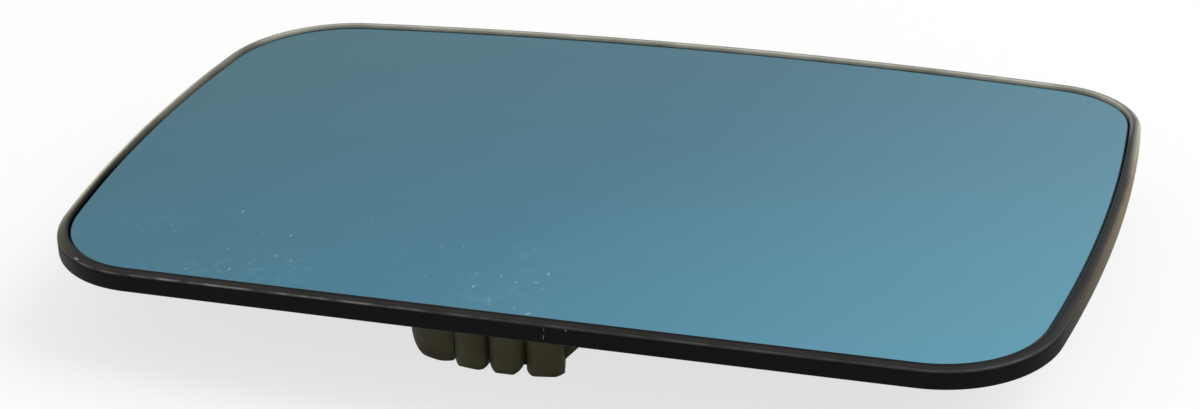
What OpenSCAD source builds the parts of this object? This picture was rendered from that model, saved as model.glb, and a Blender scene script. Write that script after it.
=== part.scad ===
// Door mirror glass: a convex heated glass in a moulded holder, with a twist-lock ring behind it.
// Millimetres. +Z is the reflecting side, +Y the edge that is on top on the car, -Y the toothed side.
// The origin is on the ring's axis, on the hub face that the mirror's adjuster seats against.

/* [Outline] */
// From the glass centre to the left side of the top left corner
top_left_reach = 79.5; // [72:0.5:86]
// From the glass centre to the right side of the top right corner
top_right_reach = 80.5; // [72:0.5:88]
// From the glass centre to the left side of the bottom left corner
bottom_left_reach = 79; // [72:0.5:86]
// From the glass centre to the right side of the bottom right corner
bottom_right_reach = 76.5; // [68:0.5:84]
// Height of the outline between its top and bottom corners
corner_height = 97.5; // [88:0.5:108]
// Radius of the top left corner
top_left_r = 19; // [12:0.5:24]
// Radius of the top right corner
top_right_r = 13; // [10:0.5:24]
// Radius of the bottom left corner
bottom_left_r = 18; // [12:0.5:24]
// Radius of the bottom right corner
bottom_right_r = 18; // [12:0.5:24]
// Radius of the bowed top edge
top_bow_r = 1450; // [600:10:3000]
// Radius of the bowed bottom edge
bottom_bow_r = 1200; // [600:10:3000]
// Radius of the bowed left side
left_bow_r = 282; // [200:2:600]
// Radius of the bowed right side
right_bow_r = 317; // [200:2:600]

/* [Glass and heater] */
// Radius of the convex reflecting face
dome_r = 2000; // [1200:50:3000]
// Height of the glass centre above the seat face
glass_height = 13; // [12:0.25:18]
// Thickness of the glass
glass_t = 1.8; // [1.5:0.1:2.2]
// Gap between the edge of the glass and the holder's rim
glass_gap = 0.3; // [0.15:0.05:0.6]
// Film of glue between the glass and the heating film
glue_t = 0.03; // [0.02:0.01:0.1]
// Thickness of the heating film
foil_t = 0.3; // [0.2:0.05:0.5]
// How far the heating film stays inside the rim
foil_inset = 2.5; // [1:0.5:5]
// Thickness of the adhesive sheet
adhesive_t = 0.4; // [0.3:0.05:0.8]
// How far the adhesive sheet stays inside the rim
adhesive_inset = 1.5; // [1:0.5:5]

/* [Holder rim and plate] */
// Width of the rim seen from the front
rim_w = 1.7; // [1.6:0.1:2.6]
// Height of the rim's edge above the glass
lip_h = 0.5; // [0.3:0.1:1]
// Radius of the rim's inner edge
rim_inner_r = 0.3; // [0.15:0.05:0.45]
// Radius of the rim's outer edge
rim_outer_r = 0.7; // [0.4:0.05:0.9]
// Fall of the rim's face from its inner to its outer edge
rim_fall = 0.2; // [0:0.05:0.3]
// Height of the rim's outer wall, from its highest line to its lower edge
rim_h = 3.3; // [3.2:0.1:4.4]
// Spread of the outer wall towards its lower edge
rim_draft = 0.05; // [0:0.05:0.3]
// Radius of the rim's lower edge
rim_foot_r = 0.3; // [0.15:0.05:0.4]
// Thickness of the back plate
plate_t = 1.6; // [1.4:0.1:3]
// Step from the rim's outer wall in to the plate's edge
plate_step = 0.9; // [0.8:0.1:1.2]
// Thickness of the plate at its edge, under the rim
plate_edge_t = 0.7; // [0.6:0.1:1.2]
// Further step in to where the plate has its full thickness
plate_rebate = 2; // [1:0.25:3]

/* [Ribs] */
// Number of ribs that run out from the hub
rib_count = 16; // [8:2:24]
// Thickness of each rib
rib_t = 1.2; // [0.8:0.1:1.6]
// Height of the ribs below the plate
rib_h = 2.2; // [1.5:0.1:2.6]
// Distance of the edge rib from the rim's inner wall
edge_rib_inset = 6; // [5.5:0.5:8]
// Radius of the round rib outside the snap hooks
round_rib_r = 41; // [40.5:0.25:43]

/* [Hub] */
// Radius of the hub's bore, which the adjuster's spigot enters
hub_bore_r = 20; // [18:0.25:20.5]
// Thickness of the hub's wall
hub_wall = 2; // [1.6:0.1:2.5]
// Depth of the hub's bore from the seat face to its floor
hub_depth = 8; // [7:0.25:8.25]
// Height of the flat land above the seat face, where the ring's sleeve ends
land_height = 7; // [6:0.25:7.5]
// Radius of the land
land_r = 29; // [28:0.5:30]
// Number of key slots in the hub's mouth
key_count = 4; // [2:1:6]
// Width of each key slot
key_w = 4; // [3:0.5:5]
// Depth of each key slot
key_depth = 2.5; // [1.5:0.5:4]

/* [Locking ring] */
// Running clearance between the ring and the hub, on the radius
running_gap = 0.05; // [0.02:0.01:0.1]
// Axial play of the ring towards the land and towards the hooks
axial_play = 0.15; // [0.1:0.05:0.3]
// Thickness of the ring's sleeve
sleeve_wall = 3.6; // [3.2:0.1:4]
// Depth of the ring's lower edge below the seat face
ring_drop = 5.4; // [4.5:0.1:6]
// Chamfer at the ring's edges
ring_lead = 0.4; // [0.2:0.1:0.5]
// Radius of the ring's flange
flange_r = 33.9; // [33.2:0.1:34.2]
// Thickness of the flange
flange_t = 2; // [1.5:0.1:2.5]
// Number of gussets between sleeve and flange
gusset_count = 12; // [6:1:16]
// Thickness of each gusset
gusset_t = 1.2; // [0.8:0.1:1.6]
// Height of the gussets above the flange
gusset_h = 3; // [2:0.25:3.25]
// How far the gussets end inside the flange's edge
gusset_inset = 1.8; // [1:0.1:3]
// Travel of the ring from open to locked
ring_travel = 24; // [16:1:26]

/* [Bayonet] */
// Number of lugs inside the ring
lug_count = 4; // [3:1:5]
// Angle that each lug covers
lug_deg = 36; // [26:2:44]
// Direction of the first lug's leading end, with the ring open
lug_at = 60; // [40:1:85]
// Height of the lugs above the ring's lower edge
lug_rise = 0.3; // [0.2:0.1:0.8]
// Thickness of each lug
lug_t = 2.4; // [1.8:0.1:2.8]
// How far the lugs stay outside the hub's bore
lug_clear = 0.5; // [0.3:0.1:1.2]
// Depth of the groove above the lugs, into the sleeve's wall
groove_depth = 1.4; // [1:0.1:1.8]
// Angle over which each lug's leading end is ramped
ramp_deg = 14; // [8:1:20]
// Fall of the ramp at the lug's leading end
ramp_fall = 0.9; // [0.4:0.1:1.4]

/* [Teeth] */
// Number of like teeth, beside the wider end tooth
tooth_count = 3; // [2:1:4]
// Angle from one tooth to the next
tooth_pitch = 9.3; // [8:0.1:10]
// Angle that the end tooth covers
end_tooth_deg = 13.5; // [11:0.1:15]
// Direction of the toothed sector's square end, with the ring open
sector_end = -75.2; // [-80:0.2:-73]
// Radius over the teeth
tooth_tip_r = 38.4; // [37.8:0.1:39.2]
// Radius of each tooth's rounded face
tooth_face_r = 3.3; // [3.2:0.1:4.5]
// Radius of the end tooth's rounded face
end_face_r = 6; // [5.6:0.1:9]
// Inner radius of the wall that carries the teeth
carrier_inner_r = 31.6; // [30.8:0.1:32.2]
// Outer radius of that wall
carrier_outer_r = 35; // [34.5:0.1:35.5]
// How far that wall ends above the teeth's lower edge
carrier_rise = 0.2; // [0.1:0.1:1]
// Radius of the teeth's lower outer edge
tooth_edge_r = 0.6; // [0.3:0.1:1]
// Half the width of the slit where two teeth meet
tooth_slit = 0.1; // [0.05:0.05:0.2]
// How far a sloping web runs on beyond the sector's square end
web_len = 4.3; // [3:0.1:5]
// Depth of the web below the flange where it starts
web_drop = 4.2; // [3:0.1:4.4]
// Thickness of the web
web_t = 1.8; // [1.6:0.1:2.4]
// How far the web's outer face lies inside the carrying wall's
web_inset = 0.3; // [0.2:0.1:0.6]

/* [Snap hooks and stops] */
// Width of each snap hook
hook_w = 7; // [5:0.5:8]
// Thickness of a hook's arm at its nose
hook_t = 1.7; // [1.4:0.1:2.2]
// Gap between a hook's arm and the flange
hook_gap = 0.35; // [0.3:0.05:0.6]
// How far a hook's nose reaches under the flange
hook_catch = 1; // [0.7:0.1:1.4]
// Height of a hook's nose
hook_nose_h = 2.2; // [1.8:0.1:2.6]
// Angle that the ring's stop tab covers
stop_tab_deg = 8; // [6:1:10]
// How far the stop tab stands out of the flange
stop_tab_out = 2.6; // [2:0.1:3]
// Angle that each stop post on the holder covers
stop_post_deg = 4; // [3:0.5:6]
// Gap between tab and post at each end of the travel
stop_gap = 0.3; // [0.2:0.05:0.5]

/* [Heater terminals] */
// Distance of the terminals from the glass centre
terminal_x = 44; // [43:0.5:48]
// Half the distance between the two terminals
terminal_y = 11; // [10:0.5:14]
// Gap between a terminal's foot and the heating film
foot_gap = 0.02; // [0.01:0.01:0.05]
// Width of the blades
blade_w = 6.3; // [4.8:0.1:6.5]
// Thickness of the blades
blade_t = 0.8; // [0.5:0.1:1]
// Length of the blades
blade_len = 9; // [7:0.5:10]
// Length of the foot that is riveted to the film
foot_len = 7; // [6:0.5:8]
// Inner radius of the bend
bend_r = 0.6; // [0.4:0.1:1]
// Cut-off at the corners of a blade's tip
tip_cut = 1; // [0.5:0.1:1.5]
// Radius of the hole near the blade's tip
latch_hole_r = 0.85; // [0.6:0.05:1]
// Distance of that hole from the tip
latch_hole_at = 3; // [2.5:0.1:4]
// Radius of the rivets
rivet_r = 1.2; // [0.9:0.1:1.4]
// Radius of the rivets' heads
rivet_head_r = 2.1; // [1.6:0.1:2.6]
// Thickness of the rivets' heads
rivet_head_t = 0.7; // [0.5:0.1:1]
// Gap between each rivet and its holes
rivet_gap = 0.03; // [0.02:0.01:0.1]
// Space round a terminal's foot in its window
window_gap = 1.5; // [1:0.25:2]

/* [Hidden] */

// Where the glass centre lies from the ring's axis
glass_at = [6, 0];
// Steps along each long edge of the outline
long_steps = 10;
// Steps along each short side
short_steps = 8;
// Steps round each corner
corner_steps = 10;
// Steps of each rounded edge of the rim
edge_steps = 4;
// Smoothness of round pieces
round_fn = 96;
// Smoothness of the great circle of the glass
great_circle_fn = 1440;
// Reach of the domed layers before they are trimmed
dome_span = 110;
// Straight steps over that reach
dome_steps = 11;
// Small overlap for joined or cut solids
bite = 0.5;
// Height of the prisms that trim the domed layers
trim_h = 50;

// Corners run counter-clockwise from the bottom right one. Side i joins corner i to the next.
corner_r = [bottom_right_r, top_right_r, top_left_r, bottom_left_r];
corner_at = [
    [bottom_right_reach - bottom_right_r, bottom_right_r - corner_height / 2],
    [top_right_reach - top_right_r, corner_height / 2 - top_right_r],
    [top_left_r - top_left_reach, corner_height / 2 - top_left_r],
    [bottom_left_r - bottom_left_reach, bottom_left_r - corner_height / 2]
];
side_r = [right_bow_r, top_bow_r, left_bow_r, bottom_bow_r];
side_steps = [short_steps, long_steps, short_steps, long_steps];

// Depths below the top of the glass
foil_top = -glass_t - glue_t;
adhesive_top = foil_top - foil_t;
plate_top = adhesive_top - adhesive_t;
plate_bottom = plate_top - plate_t;
rim_bottom = lip_h - rim_h;
// The plate's two edges, outside the rim's inner wall
plate_edge = rim_w - plate_step;
full_edge = plate_edge - plate_rebate;

// Height at which hooks, posts and land end, inside the plate
root_z = glass_height + plate_bottom + plate_t / 3;

hub_r = hub_bore_r + hub_wall;
ring_bore_r = hub_r + running_gap;
sleeve_r = ring_bore_r + sleeve_wall;
groove_r = ring_bore_r + groove_depth;
lug_r = hub_bore_r + lug_clear;
ring_top = land_height - axial_play;
hook_face_r = flange_r + hook_gap;
stop_r = flange_r + stop_tab_out;

// Directions of the snap hooks, clear of the toothed sector's travel and of the stops
hook_angles = [-28, 35, 145, 208];
// Middle of the stop tab's travel
stop_middle = 90;
stop_gap_deg = stop_gap / stop_r * 180 / PI;
// Radii of the lower corners left and right of each line between teeth, from the square end on
gap_corners = [[0.6, 0], [2.6, 1], [1.1, 2.1], [0.4, 1.8]];
// Radius of the end tooth's outer lower corner
end_corner_r = 6.2;
// Angle of the whole sector, and how much shorter its carrying wall is
sector_deg = tooth_count * tooth_pitch + end_tooth_deg;
carrier_short = 4;

foot_top = adhesive_top - foot_gap;
foot_bottom = foot_top - blade_t;
blade_bend = blade_t + bend_r;
blade_top = foot_top - blade_bend;
rivet_x = -blade_bend / 2;
window_size = [foot_len + 2 * window_gap, blade_w + 2 * window_gap];

function next(i) = (i + 1) % 4;
function heading(v) = atan2(v.y, v.x);
function toward(a) = [cos(a), sin(a)];
function unwrap(from, to) = to < from ? to + 360 : to;

// Centre of the side's large circle, which touches both of its corner circles from outside
function side_at(i) =
    let (
        a = corner_at[i],
        b = corner_at[next(i)],
        reach_a = side_r[i] - corner_r[i],
        reach_b = side_r[i] - corner_r[next(i)],
        span = norm(b - a),
        along = (b - a) / span,
        foot = (reach_a ^ 2 - reach_b ^ 2 + span ^ 2) / (2 * span),
        depth = sqrt(reach_a ^ 2 - foot ^ 2)
    )
    a + along * foot + [-along.y, along.x] * depth;

function arc(centre, r, from, to, steps) =
    [for (k = [0:steps - 1]) centre + r * toward(from + (to - from) * k / steps)];

function side_points(i, d) =
    let (
        c = side_at(i),
        from = heading(corner_at[i] - c),
        to = unwrap(from, heading(corner_at[next(i)] - c))
    )
    arc(c, side_r[i] + d, from, to, side_steps[i]);

function corner_points(i, d) =
    let (
        c = corner_at[next(i)],
        from = heading(c - side_at(i)),
        to = unwrap(from, heading(c - side_at(next(i))))
    )
    arc(c, corner_r[next(i)] + d, from, to, corner_steps);

// The rim's inner outline, grown by d, about the glass centre
function outline(d) = [for (i = [0:3]) each concat(side_points(i, d), corner_points(i, d))];

// Fall of the dome at a point, measured from the glass centre
function dome(p) = sqrt(dome_r ^ 2 - p.x ^ 2 - p.y ^ 2) - dome_r;

// Section of the rim: distance outside its inner wall, and height over the top of the glass
function rim_section() =
    let (
        face = lip_h - rim_fall,
        foot = rim_w + rim_draft,
        upright = 90 - atan(rim_fall / (rim_w - rim_inner_r - rim_outer_r)),
        inner = [rim_inner_r, lip_h - rim_inner_r],
        outer = [rim_w - rim_outer_r, face - rim_outer_r],
        lower = [foot - rim_foot_r, rim_bottom + rim_foot_r]
    )
    concat(
        [[0, rim_bottom]],
        arc(inner, rim_inner_r, 180, upright, edge_steps),
        [inner + rim_inner_r * toward(upright)],
        arc(outer, rim_outer_r, upright, 0, edge_steps + 2),
        [outer + [rim_outer_r, 0]],
        arc(lower, rim_foot_r, 0, -90, edge_steps - 1),
        [lower - [0, rim_foot_r]]
    );

// A closed tube of rings, each ring following the outline at one point of the section
module rim() {
    section = rim_section();
    rings = [for (s = section) outline(s.x)];
    m = len(section);
    n = len(rings[0]);
    points = [
        for (j = [0:m - 1]) for (p = rings[j])
            [p.x, p.y, glass_height + dome(p) + section[j].y]
    ];
    faces = [
        for (j = [0:m - 1]) for (i = [0:n - 1])
            let (a = j * n, b = ((j + 1) % m) * n, k = (i + 1) % n)
            each [[a + i, a + k, b + k], [a + i, b + k, b + i]]
    ];
    translate(glass_at) polyhedron(points, faces, convexity = 4);
}

// Space between two heights over the glass, turned from its half section
module dome_layer(top, bottom, true_sphere) {
    translate([glass_at.x, glass_at.y, glass_height]) rotate_extrude($fn = round_fn)
        if (true_sphere)
            intersection() {
                translate([0, -dome_r]) band(dome_r + top, dome_r + bottom, great_circle_fn);
                translate([0, -dome_span / 2]) square([dome_span, dome_span]);
            }
        else
            polygon(concat(dome_line(top, 0, dome_steps), dome_line(bottom, dome_steps, 0)));
}

// Points along the dome, a step apart, for the layers that follow it in straight steps
function dome_line(height, from, to) =
    [for (k = [from:sign(to - from):to])
        let (x = dome_span * k / dome_steps) [x, dome([x, 0]) + height]];

// A domed sheet with the glass outline grown by d
module sheet(top, bottom, d, true_sphere = false) {
    intersection() {
        dome_layer(top, bottom, true_sphere);
        translate([glass_at.x, glass_at.y, -trim_h / 2])
            linear_extrude(trim_h) polygon(outline(d));
    }
}

// Sets its children square to the dome at a point from the glass centre
module on_dome(p, height) {
    fall = asin(norm(p) / dome_r);
    way = heading(p);
    translate([glass_at.x, glass_at.y, glass_height - dome_r])
        rotate([0, 0, way]) rotate([0, fall, 0])
            translate([0, 0, dome_r + height]) rotate([0, 0, -way]) children();
}

module at_terminal(side) {
    on_dome([terminal_x, side * terminal_y], 0) children();
}

module terminal_windows() {
    for (side = [-1, 1]) at_terminal(side)
        translate([0, 0, plate_bottom])
            cube([window_size.x, window_size.y, 2 * (plate_t + rib_h)], center = true);
}

module rivet_hole(top, bottom) {
    translate([rivet_x, 0, bottom - bite])
        cylinder(r = rivet_r + rivet_gap, h = top - bottom + 2 * bite, $fn = round_fn);
}

module mirror_glass() {
    color("#5a8ea8") sheet(0, -glass_t, -glass_gap, true_sphere = true);
}

module heater_foil() {
    color("#c98a4a") difference() {
        sheet(foil_top, adhesive_top, -foil_inset);
        for (side = [-1, 1]) at_terminal(side) rivet_hole(foil_top, adhesive_top);
    }
}

module adhesive_sheet() {
    color("#d8d8d0") difference() {
        sheet(adhesive_top, plate_top, -adhesive_inset);
        terminal_windows();
    }
}

module band(outer_r, inner_r, fn = round_fn) {
    difference() {
        circle(r = outer_r, $fn = fn);
        circle(r = inner_r, $fn = fn);
    }
}

module rib_pattern() {
    difference() {
        union() {
            for (i = [0:rib_count - 1]) rotate(360 / rib_count * (i + 0.5))
                translate([0, -rib_t / 2]) square([dome_span, rib_t]);
            band(round_rib_r + rib_t, round_rib_r);
            translate(glass_at) difference() {
                polygon(outline(0));
                polygon(outline(-edge_rib_inset - rib_t));
            }
            for (side = [-1, 1]) translate(glass_at + [terminal_x, side * terminal_y])
                square(window_size + 2 * [rib_t, rib_t], center = true);
        }
        circle(r = land_r - bite, $fn = round_fn);
    }
}

module ribs() {
    intersection() {
        sheet(plate_top - bite, plate_bottom - rib_h, -edge_rib_inset);
        translate([0, 0, -trim_h / 2]) linear_extrude(trim_h) rib_pattern();
    }
}

// Full thickness inside, thinner where it reaches under the rim
module plate() {
    sheet(plate_top, plate_top - plate_edge_t, plate_edge);
    sheet(plate_top - plate_edge_t / 2, plate_bottom, full_edge);
}

// A ring segment about the ring's axis, centred on a direction
module segment(inner_r, outer_r, bottom, top, middle, deg) {
    rotate(middle - deg / 2) rotate_extrude(angle = deg, $fn = round_fn)
        translate([inner_r, bottom]) square([outer_r - inner_r, top - bottom]);
}

module hub() {
    difference() {
        union() {
            translate([0, 0, land_height]) cylinder(r = land_r, h = root_z - land_height, $fn = round_fn);
            cylinder(r = hub_r, h = land_height + bite, $fn = round_fn);
        }
        translate([0, 0, -bite]) cylinder(r = hub_bore_r, h = hub_depth + bite, $fn = round_fn);
        for (i = [0:key_count - 1]) rotate(360 / key_count * (i + 0.5))
            translate([hub_bore_r - bite, -key_w / 2, -bite])
                cube([hub_wall + 2 * bite, key_w, key_depth + bite]);
    }
}

module snap_hook() {
    nose_top = -axial_play;
    nose_bottom = nose_top - hook_nose_h;
    nose_r = flange_r - hook_catch;
    arm_r = hook_face_r + hook_t;
    rotate([90, 0, 0]) translate([0, 0, -hook_w / 2]) linear_extrude(hook_w)
        polygon([
            [hook_face_r, root_z], [hook_face_r, nose_top], [nose_r, nose_top],
            [nose_r, nose_top - bite], [hook_face_r, nose_bottom], [arm_r - bite, nose_bottom],
            [arm_r, nose_top], [arm_r + bite, root_z]
        ]);
}

// Opening through plate and ribs above a hook's nose
module hook_window() {
    nose_r = flange_r - hook_catch;
    translate([nose_r, -hook_w / 2, glass_height + plate_bottom - rib_h - bite])
        cube([hook_face_r - nose_r, hook_w, plate_t + rib_h + 2 * bite]);
}

module stop_posts() {
    reach = (ring_travel + stop_tab_deg + stop_post_deg) / 2 + stop_gap_deg;
    for (side = [-1, 1])
        segment(hook_face_r, stop_r, 0, root_z, stop_middle + side * reach, stop_post_deg);
}

module glass_holder() {
    color("#1b1c1d") union() {
        difference() {
            union() {
                plate();
                ribs();
                hub();
                stop_posts();
            }
            terminal_windows();
            for (a = hook_angles) rotate(a) hook_window();
        }
        for (a = hook_angles) rotate(a) snap_hook();
        rim();
    }
}

// Sleeve and flange in one section, with the groove that takes the adjuster's lugs
module ring_section() {
    polygon([
        [ring_bore_r + ring_lead, ring_top], [sleeve_r, ring_top], [sleeve_r, flange_t],
        [flange_r - ring_lead, flange_t], [flange_r, flange_t - ring_lead], [flange_r, 0],
        [sleeve_r, 0], [sleeve_r, ring_lead - ring_drop], [sleeve_r - ring_lead, -ring_drop],
        [groove_r, -ring_drop], [groove_r, -2 * axial_play], [ring_bore_r, -2 * axial_play],
        [ring_bore_r, ring_top - ring_lead]
    ]);
}

// One inward lug, ramped where it meets the adjuster's lug
module lug() {
    bottom = lug_rise - ring_drop;
    top = bottom + lug_t;
    run = lug_r * ramp_deg * PI / 180;
    slope = atan(ramp_fall / run);
    difference() {
        segment(lug_r, groove_r + bite, bottom, top, -lug_deg / 2, lug_deg);
        translate([0, 0, top - ramp_fall]) rotate([-slope, 0, 0])
            translate([lug_r - bite, -1.5 * run, 0])
                cube([groove_r - lug_r + 4 * bite, 1.5 * run + lug_t, lug_t]);
    }
}

module gusset() {
    rotate([90, 0, 0]) translate([0, 0, -gusset_t / 2]) linear_extrude(gusset_t)
        polygon([
            [sleeve_r - bite, flange_t - bite], [flange_r - gusset_inset, flange_t - bite],
            [flange_r - gusset_inset, flange_t + bite], [sleeve_r + bite, flange_t + gusset_h],
            [sleeve_r - bite, flange_t + gusset_h]
        ]);
}

// Teeth in plan: rounded faces that meet in narrow grooves
module tooth_plan() {
    intersection() {
        union() {
            for (i = [0:tooth_count - 1]) rotate(sector_end - (i + 0.5) * tooth_pitch)
                translate([tooth_tip_r - tooth_face_r, 0]) circle(r = tooth_face_r, $fn = round_fn);
            rotate(sector_end - sector_deg + end_tooth_deg / 2)
                translate([tooth_tip_r - end_face_r, 0]) circle(r = end_face_r, $fn = round_fn);
        }
        polygon(concat([[0, 0]], [
            for (a = [-sector_deg, -sector_deg / 2, 0]) 2 * tooth_tip_r * toward(sector_end + a)
        ]));
    }
}

// What rounds a lower corner, seen from outside the ring, to the right of the corner
module corner_cut(r) {
    difference() {
        translate([-tooth_slit, -bite]) square([r + tooth_slit, r + bite]);
        translate([r, r]) circle(r = r, $fn = round_fn);
    }
}

// Rounds the lower corners on both sides of the line between two teeth
module tooth_gap(left_r, right_r) {
    translate([carrier_outer_r - 2 * bite, 0, -ring_drop]) rotate([90, 0, 90])
        linear_extrude(tooth_tip_r - carrier_outer_r + 3 * bite) {
            if (left_r > 0) mirror([1, 0]) corner_cut(left_r);
            if (right_r > 0) corner_cut(right_r);
        }
}

// The toothed sector hangs from the flange, with its square end at sector_end
module toothed_sector() {
    difference() {
        intersection() {
            translate([0, 0, -ring_drop]) linear_extrude(ring_drop + flange_t) tooth_plan();
            rotate_extrude($fn = 2 * round_fn) difference() {
                translate([carrier_outer_r - bite, -ring_drop])
                    square([tooth_tip_r - carrier_outer_r + 2 * bite, ring_drop + flange_t]);
                translate([tooth_tip_r, -ring_drop]) mirror([1, 0]) corner_cut(tooth_edge_r);
            }
        }
        for (i = [0:tooth_count]) rotate(sector_end - i * tooth_pitch)
            tooth_gap(gap_corners[i % len(gap_corners)].x, gap_corners[i % len(gap_corners)].y);
        rotate(sector_end - sector_deg) tooth_gap(0, end_corner_r);
    }
    segment(carrier_inner_r, carrier_outer_r, carrier_rise - ring_drop, flange_t / 2,
        sector_end - (sector_deg - carrier_short) / 2, sector_deg - carrier_short);
}

// Runs on from the sector's square end and rises to the flange
module end_web() {
    rotate(sector_end) translate([carrier_outer_r - web_inset - web_t, 0, 0])
        rotate([90, 0, 90]) linear_extrude(web_t)
            polygon([
                [-bite, -web_drop], [0, -web_drop], [web_len, 0],
                [web_len, flange_t / 4], [-bite, flange_t / 4]
            ]);
}

module locking_ring() {
    color("#b7ad84") union() {
        rotate_extrude($fn = round_fn) ring_section();
        for (i = [0:lug_count - 1]) rotate(360 / lug_count * i + lug_at) lug();
        for (i = [0:gusset_count - 1]) rotate(360 / gusset_count * (i + 0.5)) gusset();
        toothed_sector();
        end_web();
        segment(flange_r - bite, stop_r, 0, flange_t, stop_middle - ring_travel / 2, stop_tab_deg);
    }
}

// Foot, bend and blade in one side view
module terminal_side() {
    centre = [foot_len / 2 - blade_bend, blade_top];
    translate([-foot_len / 2, foot_bottom]) square([foot_len - blade_bend, blade_t]);
    translate(centre) intersection() {
        band(blade_bend, bend_r);
        square(blade_bend);
    }
    translate(centre + [bend_r, -blade_len]) square([blade_t, blade_len]);
}

module terminal(side) {
    tip = blade_top - blade_len;
    color("#c9c6b8") at_terminal(side) difference() {
        rotate([90, 0, 0]) translate([0, 0, -blade_w / 2]) linear_extrude(blade_w) terminal_side();
        rivet_hole(foot_top, foot_bottom);
        translate([0, 0, tip + latch_hole_at]) rotate([0, 90, 0])
            cylinder(r = latch_hole_r, h = foot_len, $fn = round_fn);
        for (y = [-1, 1]) translate([foot_len / 2, y * blade_w / 2, tip]) rotate([45, 0, 0])
            cube([4 * blade_t, tip_cut * sqrt(2), tip_cut * sqrt(2)], center = true);
    }
}

module rivet() {
    translate([rivet_x, 0, foot_bottom - rivet_head_t]) {
        cylinder(r = rivet_head_r, h = rivet_head_t, $fn = round_fn);
        cylinder(r = rivet_r, h = foil_top - foot_bottom + rivet_head_t, $fn = round_fn);
    }
}

module terminal_rivets() {
    color("#a9a9a4") for (side = [-1, 1]) at_terminal(side) rivet();
}

mirror_glass();
heater_foil();
adhesive_sheet();
glass_holder();
locking_ring();
terminal(1);  // terminal_upper
terminal(-1);  // terminal_lower
terminal_rivets();
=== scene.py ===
import math

import bmesh
import bpy
from mathutils import Matrix, Vector


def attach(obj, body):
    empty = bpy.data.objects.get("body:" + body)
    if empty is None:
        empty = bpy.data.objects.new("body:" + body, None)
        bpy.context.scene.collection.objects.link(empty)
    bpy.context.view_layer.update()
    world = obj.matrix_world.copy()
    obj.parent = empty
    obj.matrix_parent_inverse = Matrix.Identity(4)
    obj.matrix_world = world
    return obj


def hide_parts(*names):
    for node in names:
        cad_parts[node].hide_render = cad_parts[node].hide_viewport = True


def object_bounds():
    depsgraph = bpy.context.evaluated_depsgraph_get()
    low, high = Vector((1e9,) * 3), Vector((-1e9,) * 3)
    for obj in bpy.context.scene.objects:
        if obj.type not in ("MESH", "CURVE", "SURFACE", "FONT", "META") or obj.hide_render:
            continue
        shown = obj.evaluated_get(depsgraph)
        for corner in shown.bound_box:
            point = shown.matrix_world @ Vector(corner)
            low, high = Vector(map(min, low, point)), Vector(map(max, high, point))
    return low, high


bl_info = {
    "name": "Door Mirror Glass",
    "version": (1, 0, 0),
    "blender": (4, 5, 0),
    "location": "View3D > Sidebar > Door Mirror Glass",
    "description": "Dresses a convex door mirror glass in its holder with a twist-lock ring",
    "category": "Object",
}

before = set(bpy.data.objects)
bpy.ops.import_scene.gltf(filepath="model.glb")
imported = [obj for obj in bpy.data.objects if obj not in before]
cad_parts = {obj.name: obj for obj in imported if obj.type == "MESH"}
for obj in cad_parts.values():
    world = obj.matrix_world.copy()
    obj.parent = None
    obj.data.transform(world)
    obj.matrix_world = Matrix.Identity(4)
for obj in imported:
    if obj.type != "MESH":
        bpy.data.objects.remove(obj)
CAD_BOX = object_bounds()
MM = 0.001
HOLDER, RING = "holder", "ring"
# Material slots of the glass and of the rim
COATED, GROUND, PAINTED = 0, 1, 2
WALL, FACE = 0, 1
# Steps along the outline: right, top, left and bottom side, and each corner
SIDE_STEPS = (36, 60, 36, 60)
CORNER_STEPS = 24
# Single marks of use: centre and half-axes in mm, the turn about Z and the strength
GLASS_SCRATCHES = [
    ((7.1, -40.2, 12.6), (0.45, 0.35, 2.0), 0.0, 0.22),
    ((8.1, -37.3, 12.6), (0.55, 0.25, 2.0), -0.9, 0.40),
    ((8.7, -48.95, 12.4), (0.55, 0.15, 2.0), 0.5, 0.85),
]
RIM_NICKS = [((-65.2, -47.1, 11.6), (0.7, 0.22, 1.0), -0.57, 0.9)]
WALL_SCRATCHES = [
    ((12.0, -52.0, 11.9), (0.07, 1.5, 0.5), 0.0, 0.35),
    ((11.9, -52.0, 10.6), (0.10, 1.5, 0.45), 0.0, 0.50),
    ((15.3, -52.0, 12.1), (0.18, 1.5, 0.18), 0.0, 0.55),
]
# Camera fitted to the photo's outline: 27 degrees up, turned 17.5 degrees, and in metres
CAMERA_PLACE = (0.110235, -0.334625, 0.184096)
CAMERA_FORWARD = Vector((-0.26779, 0.84981, -0.45399))
CAMERA_RIGHT = Vector((0.95812, 0.28449, -0.03262))
# One large soft light above, to the right, and an even fill from all round
LIGHT_PLACE = (1.2, 0.35, 1.5)
LIGHT_SIZE = 1.6
FILL = 0.62
FLOOR_HALF = 6.0


def tint(text):
    """Linear RGBA of an sRGB hex colour."""
    parts = [int(text[i:i + 2], 16) / 255 for i in (1, 3, 5)]
    return (*[c / 12.92 if c <= 0.04045 else ((c + 0.055) / 1.055) ** 2.4 for c in parts], 1.0)


def length(label, about, millimetres, low=0.0, high=2000.0):
    """A length property, given in millimetres and kept in metres."""
    return bpy.props.FloatProperty(
        name=label, description=about, default=millimetres * MM, min=low * MM, max=high * MM,
        unit="LENGTH", precision=5)


def colour(label, about, text):
    """A colour property, given as sRGB hex and kept linear."""
    return bpy.props.FloatVectorProperty(
        name=label, description=about, default=tint(text), size=4, min=0.0, max=1.0,
        subtype="COLOR")


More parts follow.
